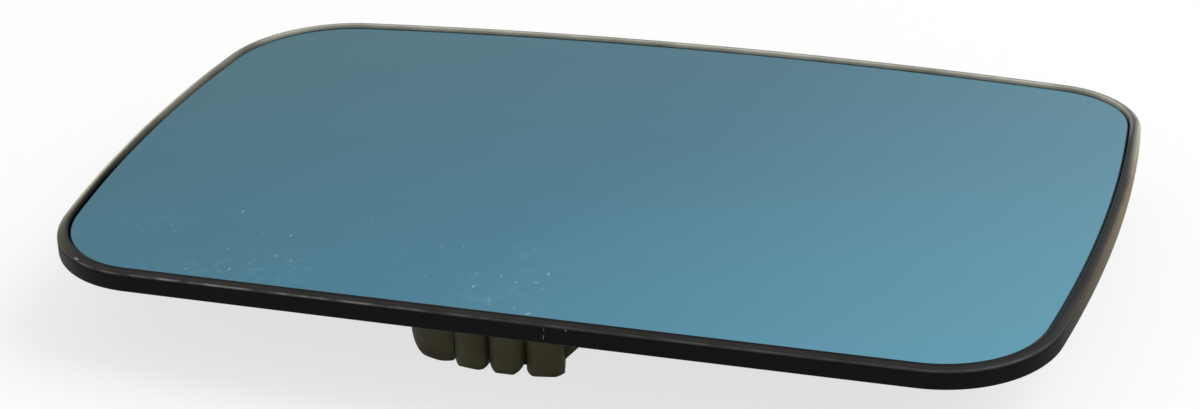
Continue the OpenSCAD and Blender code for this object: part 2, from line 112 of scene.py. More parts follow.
class OutlineSizes(bpy.types.PropertyGroup):
    """The rim's inner outline: four corner circles joined by four large arcs."""
    centre_x: length("Centre", "Glass centre from the ring's axis", 6)
    height: length("Height of the glass", "Top of the glass above the hub's seat", 13)
    dome_r: length("Dome radius", "Radius of the convex face", 2000, 500, 5000)
    top_left: length("Top left reach", "From the centre to the corner's side", 79.5)
    top_right: length("Top right reach", "From the centre to the corner's side", 80.5)
    bottom_left: length("Bottom left reach", "From the centre to the corner's side", 79)
    bottom_right: length("Bottom right reach", "From the centre to the corner's side", 76.5)
    corner_height: length("Corner height", "Between the top and bottom corners", 97.5)
    top_left_r: length("Top left radius", "Corner radius", 19)
    top_right_r: length("Top right radius", "Corner radius", 13)
    bottom_left_r: length("Bottom left radius", "Corner radius", 18)
    bottom_right_r: length("Bottom right radius", "Corner radius", 18)
    top_bow_r: length("Top bow", "Radius of the bowed top edge", 1450)
    bottom_bow_r: length("Bottom bow", "Radius of the bowed bottom edge", 1200)
    left_bow_r: length("Left bow", "Radius of the bowed left side", 282)
    right_bow_r: length("Right bow", "Radius of the bowed right side", 317)


class GlassLook(bpy.types.PropertyGroup):
    """Sizes and tints of the mirror glass."""
    thickness: length("Thickness", "Thickness of the glass", 1.8)
    gap: length("Gap", "Between the glass and the rim", 0.3)
    arris: length("Arris", "Width of the ground edges", 0.22)
    # Painted reflection: the five colours below lay the gradient of the mirrored surroundings into
    # the coating
    deep_reflection_tint: colour("Deep tint", "Coating where it is deepest, at the left", "#547986")
    middle: colour("Middle tint", "Coating in the middle", "#5a8497")
    light: colour("Light tint", "Coating where it is lightest, at the right", "#71a3b6")
    cool_reflection_shift: colour("Cool shift", "What tints the coating towards the bottom edge", "#eaf8fc")
    warm_reflection_shift: colour("Warm shift", "What tints the coating towards the top edge", "#fff2ed")
    grazing: colour("Grazing tint", "Coating seen at a flat angle", "#cbd8df")
    edge: colour("Ground edge", "Ground edge of the glass", "#2b3a40")
    speck: colour("Specks", "Dried dust and small scratches", "#a9cbd6")
    paint: colour("Backing paint", "Paint on the back of the coating", "#3c3f41")


class RimLook(bpy.types.PropertyGroup):
    """Sizes and colours of the holder's rim."""
    width: length("Width", "Rim from its inner to its outer wall", 1.7)
    lip: length("Lip", "Rim above the glass", 0.5)
    inner_r: length("Inner edge", "Radius of the inner edge", 0.3)
    outer_r: length("Outer edge", "Radius of the outer edge", 0.7)
    fall: length("Fall", "Fall of the face to its outer edge", 0.2)
    wall: length("Wall", "Height of the outer wall", 3.3)
    draft: length("Draft", "Spread of the wall to its foot", 0.05)
    foot_r: length("Foot", "Radius of the wall's lower edge", 0.3)
    skin: length("Skin", "How far the fine rim covers the plain one", 0.03)
    plastic: colour("ABS", "Moulded black ABS", "#0c0d0e")
    faded: colour("Faded ABS", "Weathered face of the rim", "#2a2a29")
    scuffed: colour("Scuffed ABS", "Worn line along the outer edge", "#86857f")
    dusty: colour("Road dust", "Brown dust at the right end", "#75674f")
    green: colour("Algae", "Olive film along the left side", "#55532f")
    # Painted reflection: a pale colour on the far edge, up the left side and at the far right
    # corner, where the rim mirrors the bright surroundings
    painted_sheen_tint: colour("Chalky film", "Dried polish along the top edge and the left side", "#dedccb")


class RingLook(bpy.types.PropertyGroup):
    """Colours of the twist-lock ring."""
    # Painted shade: the ring's colours are written much darker than yellowed nylon is, for the
    # shade it lies in under the holder
    shaded_nylon: colour("Nylon", "Natural nylon, yellowed", "#3f3f20")
    aged: colour("Aged nylon", "Browner patches", "#342b17")
    # Painted shade: laid in hollows and tight corners
    hollow_shade: colour("Grime", "Dirt in the corners", "#100e08")
    rounding: length("Rounding", "Radius of the moulded edges", 0.25)


class BackLook(bpy.types.PropertyGroup):
    """Colours of what lies behind the glass."""
    film: colour("Heater film", "Printed polyester film", "#a8703c")
    track: colour("Heater tracks", "Silver ink tracks", "#8e8f8c")
    foam: colour("Acrylic foam", "Adhesive sheet", "#d5d4cb")
    tinned: colour("Tinned brass", "Tin plating on the blades", "#c6c2b4")
    brass: colour("Brass", "Where the tin is worn through", "#b08d4a")
    rivet: colour("Rivets", "Pressed aluminium", "#b9b9b5")
    rounding: length("Rounding", "Radius of the holder's moulded edges", 0.2)
    stamped: length("Stamped edge", "Radius of the blades' edges", 0.08)


class StageLook(bpy.types.PropertyGroup):
    """Floor, light and camera."""
    floor: colour("Floor", "Plain pale floor", "#f4f4f3")
    bright: bpy.props.FloatProperty(
        name="Floor brightness", description="Share of plain white in the floor's look",
        default=0.72, min=0.0, max=0.9, subtype="FACTOR")
    lens: bpy.props.FloatProperty(
        name="Lens", description="Focal length in millimetres on a 36 mm sensor", default=72.0,
        min=20.0, max=200.0)
    lamp: bpy.props.FloatProperty(
        name="Soft light", description="Power of the large soft light", default=26.0, min=0.0,
        max=500.0, unit="POWER")


def add(tree, kind, inputs=None, **settings):
    """Adds a node with its settings, and sets or links its inputs."""
    node = tree.nodes.new("ShaderNode" + kind)
    for name, value in settings.items():
        setattr(node, name, value)
    for name, value in (inputs or {}).items():
        if isinstance(value, bpy.types.NodeSocket):
            tree.links.new(value, node.inputs[name])
        else:
            node.inputs[name].default_value = value
    return node


def new_material(name):
    """An empty material with its node tree, its principled shader and the object's coordinates."""
    material = bpy.data.materials.new(name)
    material.use_nodes = True
    tree = material.node_tree
    tree.nodes.clear()
    shader = add(tree, "BsdfPrincipled")
    output = add(tree, "OutputMaterial", {"Surface": shader.outputs[0]})
    output.is_active_output = True
    place = add(tree, "TexCoord").outputs["Object"]
    return material, tree, shader, place


def per(millimetres):
    """Scale of a pattern whose features measure so many millimetres."""
    return 1 / (millimetres * MM)


def set_sockets(shader, **values):
    """Sets the shader's own sockets, named with _ for a space."""
    for name, value in values.items():
        shader.inputs[name.replace("_", " ")].default_value = value


def viewed(tree):
    """One for what the camera sees, also by a mirror or through glass, and nought otherwise."""
    path = add(tree, "LightPath").outputs
    either = add(tree, "Math", {0: path["Is Camera Ray"], 1: path["Is Glossy Ray"]},
                 operation="ADD", use_clamp=True).outputs[0]
    return add(tree, "Math", {0: either, 1: path["Is Transmission Ray"]},
               operation="ADD", use_clamp=True).outputs[0]


def marks(tree, place, spots):
    """How strongly single marks show at a place: each is an ellipsoid turned about Z."""
    total = 0.0
    for centre, reach, turn, strength in spots:
        off = add(tree, "VectorMath", {0: place, 1: [c * MM for c in centre]},
                  operation="SUBTRACT")
        turned = add(tree, "VectorRotate", {"Vector": off.outputs[0], "Angle": -turn},
                     rotation_type="Z_AXIS")
        scaled = add(tree, "VectorMath", {
            0: turned.outputs[0], 1: [1 / (r * MM) for r in reach]}, operation="MULTIPLY")
        far = add(tree, "VectorMath", {0: scaled.outputs[0]}, operation="LENGTH")
        spot = add(tree, "MapRange", {
            "Value": far.outputs["Value"], "From Min": 1.0, "From Max": 0.55, "To Max": strength})
        total = add(tree, "Math", {0: spot.outputs[0], 1: total}, operation="ADD",
                    use_clamp=True).outputs[0]
    return total


def silvered_tinted_glass(look):
    """Float glass with a blue vacuum coating: a sharp tinted reflection, with dried dust on it, and
    a painted reflection in the coating's colour.
    """
    material, tree, shader, place = new_material("tinted_float_glass_vacuum_coated")
    axes = add(tree, "SeparateXYZ", {0: place}).outputs
    # Painted reflection: the coating's colour lightens by 5.7 parts in 1000 for each millimetre
    # along X and 2 down Y
    along = add(tree, "Math", {
        0: axes["X"], 1: 5.7, 2: 0.40}, operation="MULTIPLY_ADD").outputs[0]
    down = add(tree, "Math", {
        0: axes["Y"], 1: -2.0, 2: along}, operation="MULTIPLY_ADD").outputs[0]
    cloud = add(tree, "TexNoise", {"Vector": place, "Scale": per(70), "Detail": 2.0}).outputs["Fac"]
    uneven = add(tree, "Math", {0: cloud, 1: 0.10, 2: down}, operation="MULTIPLY_ADD").outputs[0]
    ramp = add(tree, "ValToRGB", {"Fac": uneven})
    ramp.color_ramp.elements[0].color = look.deep_reflection_tint
    ramp.color_ramp.elements[1].color = look.light
    ramp.color_ramp.elements.new(0.5).color = look.middle
    # Painted reflection as well: it turns from cool to warm over the 90 mm up the glass
    up = add(tree, "MapRange", {
        "Value": axes["Y"], "From Min": -45 * MM, "From Max": 45 * MM}).outputs[0]
    shift = add(tree, "Mix", {"Factor": up, "A": look.cool_reflection_shift, "B": look.warm_reflection_shift}, data_type="RGBA")
    tinted = add(tree, "Mix", {
        "Factor": 1.0, "A": ramp.outputs["Color"], "B": shift.outputs["Result"]},
        data_type="RGBA", blend_type="MULTIPLY")
    # Specks 0.3 to 0.6 mm across and twice as long down the glass lie 3 mm apart in loose patches
    drawn = add(tree, "Mapping", {"Vector": place, "Scale": (1.0, 0.5, 1.0)}).outputs[0]
    cells = add(tree, "TexVoronoi", {"Vector": drawn, "Scale": per(2.7), "Randomness": 1.0},
                voronoi_dimensions="2D")
    lot = add(tree, "SeparateColor", {0: cells.outputs["Color"]}).outputs
    patch = add(tree, "TexNoise", {
        "Vector": place, "Scale": per(13.3), "Detail": 1.0}).outputs["Fac"]
    patchy = add(tree, "MapRange", {
        "Value": patch, "From Min": 0.42, "From Max": 0.60, "To Max": 0.8}).outputs[0]
    near = add(tree, "MapRange", {
        "Value": axes["Y"], "From Min": -26 * MM, "From Max": -33 * MM}).outputs[0]
    left = add(tree, "MapRange", {
        "Value": axes["X"], "From Min": 16 * MM, "From Max": 2 * MM}).outputs[0]
    where = add(tree, "Math", {0: near, 1: left}, operation="MULTIPLY").outputs[0]
    often = add(tree, "Math", {0: where, 1: patchy}, operation="MULTIPLY").outputs[0]
    above = add(tree, "Math", {0: lot[0], 1: often}, operation="LESS_THAN").outputs[0]
    size = add(tree, "Math", {0: lot[1], 1: 0.05, 2: 0.06}, operation="MULTIPLY_ADD").outputs[0]
    core = add(tree, "MapRange", {
        "Value": cells.outputs["Distance"], "From Min": size, "From Max": 0.02}).outputs[0]
    strength = add(tree, "MapRange", {"Value": lot[2], "To Min": 0.08, "To Max": 0.42}).outputs[0]
    kept = add(tree, "Math", {0: above, 1: strength}, operation="MULTIPLY").outputs[0]
    spots = add(tree, "Math", {0: core, 1: kept}, operation="MULTIPLY").outputs[0]
    # Between them lies a faint film of dust, and three short scratches cross it
    fine = add(tree, "TexNoise", {"Vector": place, "Scale": per(1.7), "Detail": 2.0}).outputs["Fac"]
    film = add(tree, "MapRange", {
        "Value": fine, "From Min": 0.50, "From Max": 0.80, "To Max": 0.09}).outputs[0]
    dried = add(tree, "Math", {0: film, 1: often, 2: spots}, operation="MULTIPLY_ADD").outputs[0]
    scratches = marks(tree, place, GLASS_SCRATCHES)
    speck = add(tree, "Math", {0: dried, 1: scratches}, operation="ADD", use_clamp=True).outputs[0]
    base = add(tree, "Mix", {
        "Factor": speck, "A": tinted.outputs["Result"], "B": look.speck}, data_type="RGBA")
    tree.links.new(base.outputs["Result"], shader.inputs["Base Color"])
    metal = add(tree, "Math", {0: 1.0, 1: speck}, operation="SUBTRACT").outputs[0]
    tree.links.new(metal, shader.inputs["Metallic"])
    # A thin film of dust dulls the glass a little in clouds 70 mm across
    dull = add(tree, "MapRange", {
        "Value": cloud, "From Min": 0.35, "From Max": 0.75, "To Min": 0.03,
        "To Max": 0.09}).outputs[0]
    rough = add(tree, "Math", {0: speck, 1: 0.5, 2: dull}, operation="MULTIPLY_ADD").outputs[0]
    tree.links.new(rough, shader.inputs["Roughness"])
    set_sockets(shader, Specular_Tint=look.grazing)
    return material


def ground_glass_edge(look):
    """Edge of the glass, ground with grit that leaves 0.17 mm pits: a frosted, darker band."""
    material, tree, shader, place = new_material("float_glass_ground_edge")
    grit = add(tree, "TexNoise", {
        "Vector": place, "Scale": per(0.17), "Detail": 3.0}).outputs["Fac"]
    shade = add(tree, "MapRange", {"Value": grit, "To Min": 0.7, "To Max": 1.3}).outputs[0]
    mix = add(tree, "Mix", {"Factor": 1.0, "A": look.edge, "B": shade},
              data_type="RGBA", blend_type="MULTIPLY")
    tree.links.new(mix.outputs["Result"], shader.inputs["Base Color"])
    bump = add(tree, "Bump", {"Height": grit, "Strength": 0.3, "Distance": 0.05 * MM})
    tree.links.new(bump.outputs[0], shader.inputs["Normal"])
    set_sockets(shader, Roughness=0.55, IOR=1.52)
    return material


def backing_paint(look):
    """Protective paint on the back of the coating: dull, with the soft ripple of a spray gun."""
    material, tree, shader, place = new_material("backing_paint_sprayed")
    peel = add(tree, "TexNoise", {"Vector": place, "Scale": per(1.1), "Detail": 2.0}).outputs["Fac"]
    shade = add(tree, "MapRange", {"Value": peel, "To Min": 0.85, "To Max": 1.1}).outputs[0]
    mix = add(tree, "Mix", {"Factor": 1.0, "A": look.paint, "B": shade},
              data_type="RGBA", blend_type="MULTIPLY")
    tree.links.new(mix.outputs["Result"], shader.inputs["Base Color"])
    set_sockets(shader, Roughness=0.6)
    return material


def moulded_abs(look, name, level, gloss, dusted_and_sheened=False):
    """Black ABS from a fine spark-eroded mould: an even dark grain that catches little light."""
    material, tree, shader, place = new_material(name)
    # Grain of 0.2 mm, drawn twice as coarse so that it shows
    grain = add(tree, "TexNoise", {
        "Vector": place, "Scale": per(0.4), "Detail": 4.0}).outputs["Fac"]
    flow = add(tree, "TexNoise", {"Vector": place, "Scale": per(17), "Detail": 3.0}).outputs["Fac"]
    mottle = add(tree, "Math", {0: grain, 1: 0.5, 2: flow}, operation="MULTIPLY_ADD").outputs[0]
    shade = add(tree, "MapRange", {
        "Value": mottle, "From Min": 0.4, "From Max": 1.1, "To Min": 0.7,
        "To Max": 1.35}).outputs[0]
    base = add(tree, "Mix", {"Factor": 1.0, "A": look.plastic, "B": shade},
               data_type="RGBA", blend_type="MULTIPLY").outputs["Result"]
    if dusted_and_sheened:
        base = wear_and_sheen_layer(tree, base, look.dusty, "dust", flow)
        base = wear_and_sheen_layer(tree, base, look.green, "algae", flow)
        # Painted reflection: the next layer is pale where the rim mirrors the bright surroundings
        base = wear_and_sheen_layer(tree, base, look.painted_sheen_tint, "painted_sheen", flow)
        base = add(tree, "Mix", {
            "Factor": marks(tree, place, WALL_SCRATCHES), "A": base, "B": look.scuffed},
            data_type="RGBA").outputs["Result"]
    tree.links.new(base, shader.inputs["Base Color"])
    rough = add(tree, "MapRange", {
        "Value": flow, "From Min": 0.3, "From Max": 0.7, "To Min": gloss - 0.06,
        "To Max": gloss + 0.08}).outputs[0]
    tree.links.new(rough, shader.inputs["Roughness"])
    bump = add(tree, "Bump", {"Height": grain, "Strength": 0.25, "Distance": 0.04 * MM})
    tree.links.new(bump.outputs[0], shader.inputs["Normal"])
    set_sockets(shader, Specular_IOR_Level=level, IOR=1.53)
    return material


def wear_and_sheen_layer(tree, base, layer, attribute, cloud):
    """A layer over a base where the rim's attribute lies, broken up by clouds of noise."""
    there = add(tree, "Attribute", attribute_name=attribute).outputs["Fac"]
    broken = add(tree, "MapRange", {
        "Value": cloud, "From Min": 0.3, "From Max": 0.6, "To Min": 0.6, "To Max": 1.0}).outputs[0]
    cover = add(tree, "Math", {0: there, 1: broken}, operation="MULTIPLY").outputs[0]
    return add(tree, "Mix", {"Factor": cover, "A": base, "B": layer},
               data_type="RGBA").outputs["Result"]


def weathered_abs(look):
    """The rim's face: black ABS, dulled by weather, with dust, algae, scuffs and a pale painted
    reflection.
    """
    material, tree, shader, place = new_material("abs_moulded_weathered_rim_face")
    axes = add(tree, "SeparateXYZ", {0: place}).outputs
    grain = add(tree, "TexNoise", {
        "Vector": place, "Scale": per(0.4), "Detail": 4.0}).outputs["Fac"]
    cloud = add(tree, "TexNoise", {
        "Vector": place, "Scale": per(8.3), "Detail": 5.0}).outputs["Fac"]
    base = wear_and_sheen_layer(tree, look.plastic, look.faded, "fade", cloud)
    base = wear_and_sheen_layer(tree, base, look.dusty, "dust", cloud)
    base = wear_and_sheen_layer(tree, base, look.green, "algae", cloud)
    # Painted reflection: a pale layer where the rim mirrors the bright surroundings
    base = wear_and_sheen_layer(tree, base, look.painted_sheen_tint, "painted_sheen", cloud)
    # The outer edge is rubbed bare in dashes some 4 mm long, most towards the left
    edge = add(tree, "Attribute", attribute_name="scuff").outputs["Fac"]
    rub = add(tree, "TexNoise", {"Vector": place, "Scale": per(3.85), "Detail": 6.0}).outputs["Fac"]
    side = add(tree, "MapRange", {
        "Value": axes["X"], "From Min": -30 * MM, "From Max": 0.0, "To Min": 1.1,
        "To Max": 0.25}).outputs[0]
    dash = add(tree, "MapRange", {
        "Value": rub, "From Min": 0.40, "From Max": 0.60, "To Min": 0.08,
        "To Max": side}).outputs[0]
    nicks = marks(tree, place, RIM_NICKS)
    worn = add(tree, "Math", {0: edge, 1: dash, 2: nicks}, operation="MULTIPLY_ADD",
               use_clamp=True).outputs[0]
    base = add(tree, "Mix", {"Factor": worn, "A": base, "B": look.scuffed},
               data_type="RGBA").outputs["Result"]
    tree.links.new(base, shader.inputs["Base Color"])
    rough = add(tree, "Math", {0: worn, 1: 0.2, 2: 0.34}, operation="MULTIPLY_ADD").outputs[0]
    tree.links.new(rough, shader.inputs["Roughness"])
    bump = add(tree, "Bump", {"Height": grain, "Strength": 0.2, "Distance": 0.04 * MM})
    tree.links.new(bump.outputs[0], shader.inputs["Normal"])
    set_sockets(shader, Specular_IOR_Level=0.07, IOR=1.53)
    return material


def aged_nylon(look):
    """Natural polyamide, moulded and yellowed: waxy and a little see-through, in colours darkened
    as painted shade, with more painted shade in corners.
    """
    material, tree, shader, place = new_material("natural_nylon_moulded_yellowed")
    cloud = add(tree, "TexNoise", {
        "Vector": place, "Scale": per(6.7), "Detail": 4.0}).outputs["Fac"]
    patch = add(tree, "MapRange", {"Value": cloud, "From Min": 0.45, "From Max": 0.70}).outputs[0]
    aged = add(tree, "Mix", {"Factor": patch, "A": look.shaded_nylon, "B": look.aged}, data_type="RGBA")
    # Painted shade: the colour darkens where the surface is hollow, and inside 2 mm of a
    # neighbouring face
    hollow = add(tree, "AmbientOcclusion", {"Distance": 2 * MM}, samples=8).outputs["AO"]
    dark = add(tree, "MapRange", {
        "Value": hollow, "From Min": 0.85, "From Max": 0.35, "To Max": 0.8}).outputs[0]
    base = add(tree, "Mix", {
        "Factor": dark, "A": aged.outputs["Result"], "B": look.hollow_shade}, data_type="RGBA")
    tree.links.new(base.outputs["Result"], shader.inputs["Base Color"])
    wax = add(tree, "TexNoise", {"Vector": place, "Scale": per(0.67), "Detail": 3.0}).outputs["Fac"]
    rough = add(tree, "MapRange", {"Value": wax, "To Min": 0.48, "To Max": 0.64}).outputs[0]
    tree.links.new(rough, shader.inputs["Roughness"])
    bump = add(tree, "Bump", {"Height": wax, "Strength": 0.15, "Distance": 0.04 * MM})
    tree.links.new(bump.outputs[0], shader.inputs["Normal"])
    set_sockets(shader, Subsurface_Weight=0.25, Subsurface_Scale=1.2 * MM,
                Subsurface_Radius=(1.0, 0.8, 0.4), IOR=1.53, Specular_IOR_Level=0.25)
    return material


def heater_film(look):
    """Polyester film with silver ink printed on it in long tracks 3 mm apart."""
    material, tree, shader, place = new_material("polyester_film_screen_printed")
    # A wave texture repeats every math.tau / (20 * scale), here 6 mm for a track and a space
    wave = add(tree, "TexWave", {
        "Vector": place, "Scale": math.tau / 20 * per(6), "Distortion": 0.0},
        bands_direction="Y").outputs["Fac"]
    track = add(tree, "MapRange", {"Value": wave, "From Min": 0.48, "From Max": 0.52}).outputs[0]
    base = add(tree, "Mix", {"Factor": track, "A": look.film, "B": look.track}, data_type="RGBA")
    tree.links.new(base.outputs["Result"], shader.inputs["Base Color"])
    rough = add(tree, "MapRange", {"Value": track, "To Min": 0.25, "To Max": 0.5}).outputs[0]
    tree.links.new(rough, shader.inputs["Roughness"])
    return material


def acrylic_foam(look):
    """Acrylic foam sheet, cast with cells of 0.3 mm: soft, dull and off-white."""
    material, tree, shader, place = new_material("acrylic_foam_cast")
    cells = add(tree, "TexVoronoi", {"Vector": place, "Scale": per(0.33)}).outputs["Distance"]
    shade = add(tree, "MapRange", {"Value": cells, "To Min": 0.85, "To Max": 1.05}).outputs[0]
    mix = add(tree, "Mix", {"Factor": 1.0, "A": look.foam, "B": shade},
              data_type="RGBA", blend_type="MULTIPLY")
    tree.links.new(mix.outputs["Result"], shader.inputs["Base Color"])
    bump = add(tree, "Bump", {"Height": cells, "Strength": 0.3, "Distance": 0.1 * MM})
    tree.links.new(bump.outputs[0], shader.inputs["Normal"])
    set_sockets(shader, Roughness=0.85)
    return material


def tinned_brass(look):
    """Stamped brass strip with hot-dipped tin: dull silver, brass where it is rubbed."""
    material, tree, shader, place = new_material("brass_strip_hot_tinned")
    flow = add(tree, "TexNoise", {"Vector": place, "Scale": per(1.4), "Detail": 5.0}).outputs["Fac"]
    rubbed = add(tree, "MapRange", {"Value": flow, "From Min": 0.60, "From Max": 0.68}).outputs[0]
    base = add(tree, "Mix", {"Factor": rubbed, "A": look.tinned, "B": look.brass}, data_type="RGBA")
    tree.links.new(base.outputs["Result"], shader.inputs["Base Color"])
    # Rolling lines 0.1 mm apart run along the strip
    lines = add(tree, "Mapping", {"Vector": place, "Scale": (1.0, 12.0, 1.0)}).outputs[0]
    rolled = add(tree, "TexNoise", {
        "Vector": lines, "Scale": per(1.25), "Detail": 2.0}).outputs["Fac"]
    rough = add(tree, "MapRange", {"Value": rolled, "To Min": 0.28, "To Max": 0.48}).outputs[0]
    tree.links.new(rough, shader.inputs["Roughness"])
    set_sockets(shader, Metallic=1.0)
    return material


def pressed_aluminium(look):
    """Rivets headed in a die: bright, with marks half a millimetre across."""
    material, tree, shader, place = new_material("aluminium_cold_headed")
    dents = add(tree, "TexNoise", {
        "Vector": place, "Scale": per(0.45), "Detail": 4.0}).outputs["Fac"]
    shade = add(tree, "MapRange", {"Value": dents, "To Min": 0.8, "To Max": 1.1}).outputs[0]
    mix = add(tree, "Mix", {"Factor": 1.0, "A": look.rivet, "B": shade},
              data_type="RGBA", blend_type="MULTIPLY")
    tree.links.new(mix.outputs["Result"], shader.inputs["Base Color"])
    rough = add(tree, "MapRange", {"Value": dents, "To Min": 0.3, "To Max": 0.5}).outputs[0]
    tree.links.new(rough, shader.inputs["Roughness"])
    set_sockets(shader, Metallic=1.0)
    return material


def arc(centre, radius, start, end, steps):
    """Points on an arc from one angle towards another, without its last point."""
    return [
        centre + radius * Vector((math.cos(a), math.sin(a)))
        for a in (start + (end - start) * k / steps for k in range(steps))
    ]


def outline(size, grow):
    """The rim's inner outline, grown by a distance, about the glass centre."""
    half = size.corner_height / 2
    radii = [size.bottom_right_r, size.top_right_r, size.top_left_r, size.bottom_left_r]
    corners = [
        Vector((size.bottom_right - radii[0], radii[0] - half)),
        Vector((size.top_right - radii[1], half - radii[1])),
        Vector((radii[2] - size.top_left, half - radii[2])),
        Vector((radii[3] - size.bottom_left, radii[3] - half)),
    ]
    bows = [size.right_bow_r, size.top_bow_r, size.left_bow_r, size.bottom_bow_r]
    hubs = []
    for i in range(4):
        a, b = corners[i], corners[(i + 1) % 4]
        reach_a, reach_b = bows[i] - radii[i], bows[i] - radii[(i + 1) % 4]
        span = (b - a).length
        way = (b - a) / span
        foot = (reach_a ** 2 - reach_b ** 2 + span ** 2) / (2 * span)
        depth = math.sqrt(reach_a ** 2 - foot ** 2)
        hubs.append(a + way * foot + Vector((-way.y, way.x)) * depth)
    points = []
    for i in range(4):
        k = (i + 1) % 4
        for centre, radius, before, after, count in (
            (hubs[i], bows[i], corners[i] - hubs[i], corners[k] - hubs[i], SIDE_STEPS[i]),
            (corners[k], radii[k], corners[k] - hubs[i], corners[k] - hubs[k], CORNER_STEPS),
        ):
            start = math.atan2(before.y, before.x)
            end = math.atan2(after.y, after.x)
            if end < start:
                end += math.tau
            points += arc(centre, radius + grow, start, end, count)
    return points


def dome(size, p):
    """Fall of the dome at a point about the glass centre."""
    return math.sqrt(size.dome_r ** 2 - p.x ** 2 - p.y ** 2) - size.dome_r


def lofted(name, size, rings, slots=None, closed=True, hub=None):
    """A mesh that joins rings of points (flat position, height over the glass), ring after ring."""
    shape = bmesh.new()
    rows = []
    for ring in rings:
        rows.append([
            shape.verts.new((p.x + size.centre_x, p.y, size.height + dome(size, p) + h))
            for p, h in ring
        ])
    count = len(rows[0])
    pairs = len(rows) if closed else len(rows) - 1
    for j in range(pairs):
        low, high = rows[j], rows[(j + 1) % len(rows)]
        for i in range(count):
            k = (i + 1) % count
            face = shape.faces.new((low[i], low[k], high[k], high[i]))
            face.smooth = True
            face.material_index = slots[j] if slots else 0
    # The hub closes both ends: the heights of its two tips, and the slot of the last one
    if hub:
        for row, height, slot in ((rows[0], hub[0], slots[0]), (rows[-1], hub[1], hub[2])):
            tip = shape.verts.new((size.centre_x, 0, size.height + height))
            for i in range(count):
                face = shape.faces.new((tip, row[i], row[(i + 1) % count]))
                face.smooth = True
                face.material_index = slot
    bmesh.ops.recalc_face_normals(shape, faces=shape.faces)
    mesh = bpy.data.meshes.new(name)
    shape.to_mesh(mesh)
    shape.free()
    piece = bpy.data.objects.new(name, mesh)
    bpy.context.scene.collection.objects.link(piece)
    return piece


class MIRRORGLASS_OT_glass(bpy.types.Operator):
    """Makes the domed glass with its ground edges"""
    bl_idname = "mirrorglass.glass"
    bl_label = "Mirror Glass"

    def execute(self, context):
        size, look = context.scene.mirror_outline, context.scene.mirror_glass
        edge, arris, depth = -look.gap, look.arris, look.thickness
        rim = outline(size, edge - arris)
        # The face is laid in rings, from a small one round its middle out to its ground edge
        smallest, steps = 0.06, 26
        shares = [smallest + (1 - smallest) * k / steps for k in range(steps + 1)]
        top = [[(p * s, 0.0) for p in rim] for s in shares]
        side = [
            [(p, -arris) for p in outline(size, edge)],
            [(p, arris - depth) for p in outline(size, edge)],
        ]
        back = [[(p * s, -depth) for p in rim] for s in reversed(shares[::2])]
        rings = top + side + back
        slots = [COATED] * (len(top) - 1) + [GROUND] * 3 + [PAINTED] * (len(back) - 1)
        piece = lofted("domed_mirror_glass", size, rings, slots, closed=False,
                       hub=(0.0, -depth, PAINTED))
        for make in (silvered_tinted_glass, ground_glass_edge, backing_paint):
            piece.data.materials.append(make(look))
        for edge_line in piece.data.edges:
            low, high = (v // len(rim) for v in edge_line.vertices)
            if low == high and len(top) - 1 <= low <= len(top) + 2:
                edge_line.use_edge_sharp = True
        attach(piece, HOLDER)
        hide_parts("mirror_glass")
        return {"FINISHED"}


def rim_section(look):
    """The rim's section from inside out: each point's distance and height, slot and scuff."""
    skin, middle = look.skin, look.width / 2
    # The fine rim ends inside behind the edge of the glass
    inner_foot = -2.2 * MM
    top, face = look.lip, look.lip - look.fall
    foot_x, foot_z = look.width + look.draft, look.lip - look.wall
    inner = Vector((look.inner_r, top - look.inner_r))
    outer = Vector((look.width - look.outer_r, face - look.outer_r))
    lower = Vector((foot_x - look.foot_r, foot_z + look.foot_r))
    upright = math.pi / 2 - math.atan(look.fall / (look.width - look.inner_r - look.outer_r))
    points = [(Vector((-2 * skin, inner_foot)), FACE, 0.0)]
    points += [(p, FACE, 0.0) for p in arc(inner, look.inner_r + 2 * skin, math.pi, upright, 8)]
    slope = Vector((math.cos(upright), math.sin(upright)))
    start = inner + (look.inner_r + skin) * slope
    end = outer + (look.outer_r + skin) * slope
    points += [(start.lerp(end, k / 6), FACE, 0.0) for k in range(6)]
    # The worn line lies round step 5 of the outer rounding, and the wall starts at step 9
    for k, p in enumerate(arc(outer, look.outer_r + skin, upright, 0, 14)):
        points.append((p, FACE if k < 9 else WALL, max(0.0, 1 - abs(k - 5) / 3)))
    wall_top = outer + Vector((look.outer_r + skin, 0))
    wall_end = lower + Vector((look.foot_r + skin, 0))
    points += [(wall_top.lerp(wall_end, k / 6), WALL, 0.0) for k in range(6)]
    points += [(p, WALL, 0.0) for p in arc(lower, look.foot_r + skin, 0, -math.pi / 2, 6)]
    for x, z in ((lower.x, foot_z - skin), (middle, foot_z - skin), (middle, inner_foot)):
        points.append((Vector((x, z)), WALL, 0.0))
    return points


def share(value, low, high):
    """How far a value lies from low towards high, between 0 and 1."""
    return min(1.0, max(0.0, (value - low) / (high - low)))


def rim_wear_and_sheen(x, y, across, scuff):
    """Layers at a place, in mm from the ring's axis and as a share of the rim's width."""
    top, left, right = share(y, 30, 44), share(-x, 52, 66), share(x, 74, 82)
    # Painted reflection on the far side, up the left side and at the far right corner, off the
    # wall, most on the far inner lip
    face = 1 - share(across, 0.85, 1.0)
    painted_sheen = max(
        top * face * (0.75 - 0.65 * share(across, 0.05, 0.30)),
        left * face * share(y, -20, 12) * 0.2,
        left * face * share(y, -40, -15) * (1 - 0.8 * share(y, 5, 30)) * share(across, 0.45, 0.60),
        right * share(y, 15, 42) * share(across, 0.35, 0.85) * 0.6)
    # Road dust on the right outer edge and wall, and algae up the left side
    dust = right * share(y, -35, 10) * share(across, 0.60, 1.0)
    algae = (left * share(y, -48, -28) * (1 - 0.8 * share(y, 10, 35))
             * share(across, 0.15, 0.35) * (0.5 + 0.5 * face))
    return {
        "fade": share(across, 0.15, 0.50),
        "dust": dust,
        "algae": algae,
        "painted_sheen": painted_sheen,
        "scuff": scuff * share(-y, 30, 44) * share(x, -74, -52),
    }


